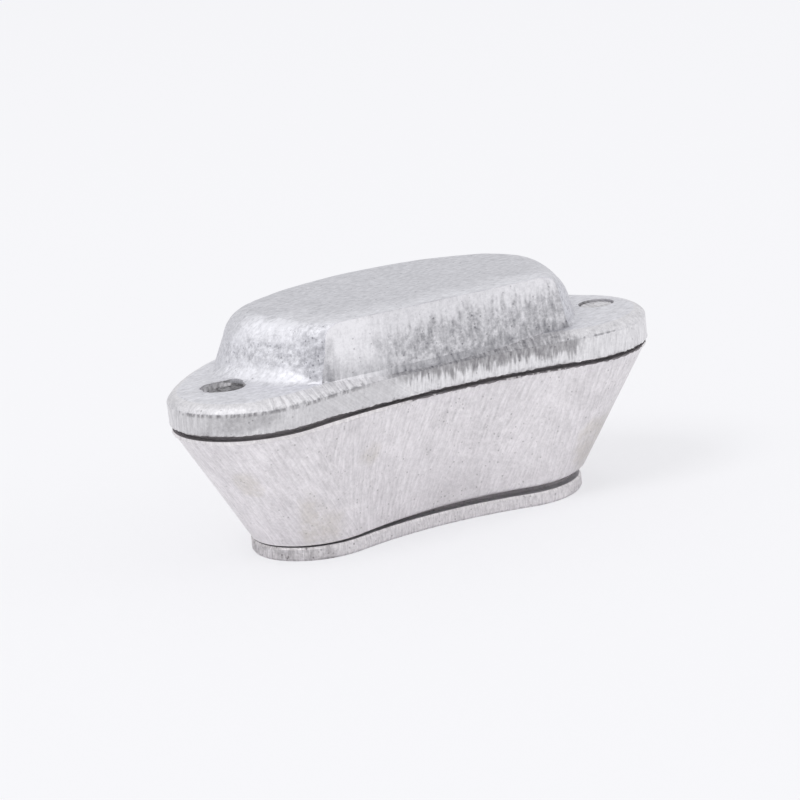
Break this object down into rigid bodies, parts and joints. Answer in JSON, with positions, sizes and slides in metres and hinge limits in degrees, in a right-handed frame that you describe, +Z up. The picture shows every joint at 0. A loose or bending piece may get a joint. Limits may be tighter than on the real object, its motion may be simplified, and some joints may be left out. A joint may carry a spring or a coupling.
{
  "type": "dental flask",
  "caption": "Small kidney-shaped dental curing flask: hollow lid with eared flange on guide pins, tapered body, loose base plate.",
  "frame": {"origin": "underside of the base plate, in the middle of the flask's length and depth", "axes": "+Z up along the way the lid lifts, +X from ear to ear, -Y towards the hollow waisted front"},
  "size_m": [0.1, 0.0524, 0.0458],
  "materials": {
    "cast_aluminium": "sand-cast, hand filed, satin",
    "pin_metal": "turned, dull"
  },
  "bodies": {
    "plate": {"base_plate": "cast_aluminium"},
    "middle": {"body": "cast_aluminium", "guide_pin_left": "pin_metal", "guide_pin_right": "pin_metal"},
    "cover": {"lid": "cast_aluminium"}
  },
  "joints": [
    {"name": "body_lift", "type": "slide", "parent": "plate", "child": "middle", "axis": [0, 0, 1], "range_m": [0, 0.02]},
    {"name": "lid_lift", "type": "slide", "parent": "middle", "child": "cover", "axis": [0, 0, 1], "range_m": [0, 0.03]}
  ]
}
